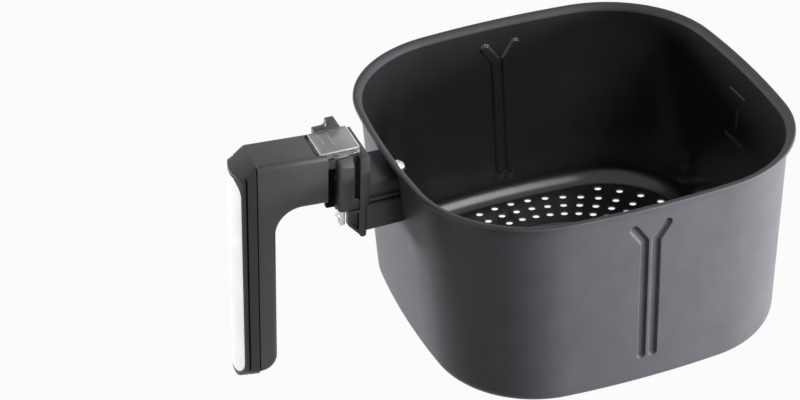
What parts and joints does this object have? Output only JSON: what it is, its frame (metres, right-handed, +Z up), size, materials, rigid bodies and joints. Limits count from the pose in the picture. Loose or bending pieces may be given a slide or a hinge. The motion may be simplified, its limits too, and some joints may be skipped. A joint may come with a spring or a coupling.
{
  "type": "air fryer basket",
  "caption": "Square nonstick air fryer basket with a perforated base and divider guides; its upright handle has a clear sliding guard over a sprung release button and latch.",
  "frame": {"origin": "centre of the basket's base, on the plane it stands on", "axes": "+Z up, handle towards -Y, divider guides on the +X and -X walls"},
  "size_m": [0.224, 0.3187, 0.1396],
  "materials": {
    "coated_metal": "satin dark grey nonstick coating",
    "seal_rubber": "matte",
    "black_plastic": "fine satin black",
    "gloss_black": "gloss black",
    "silver_trim": "satin silver",
    "clear_plastic": "clear, glossy",
    "button_plastic": "semi-gloss",
    "steel": "bright"
  },
  "bodies": {
    "basket": {"basket_shell": "coated_metal", "bracket_gasket": "seal_rubber", "handle_bracket": "black_plastic", "mounting_plate": "black_plastic", "basket_bolts": "steel", "nut_washers": "steel", "dome_nuts": "steel", "neck_housing": "black_plastic", "plate_screws": "steel", "handle_body": "black_plastic", "arm_screws": "steel", "front_shell": "gloss_black", "shell_screws": "steel", "trim_strip": "silver_trim", "button_spring": "steel", "latch_pin": "steel", "latch_spring": "steel"},
    "guard": {"slide_guard": "clear_plastic"},
    "button": {"release_button": "button_plastic"},
    "latch": {"latch_hook": "steel"}
  },
  "joints": [
    {"name": "guard_slide", "type": "slide", "parent": "basket", "child": "guard", "axis": [0, 1, 0], "range_m": [0, 0.0105]},
    {"name": "button_press", "type": "slide", "parent": "basket", "child": "button", "axis": [0, 0, -1], "range_m": [0, 0.0026], "stiffness_N_per_m": 300, "springref_m": -0.003, "deforming": ["button_spring"]},
    {"name": "latch_swing", "type": "hinge", "parent": "basket", "child": "latch", "pos_m": [0, -0.13607, 0.104], "axis": [1, 0, 0], "range_deg": [0, 16]}
  ],
  "couplings": [
    {"joint": "latch_swing", "follows": "button_press", "rad_per_m": 105}
  ]
}
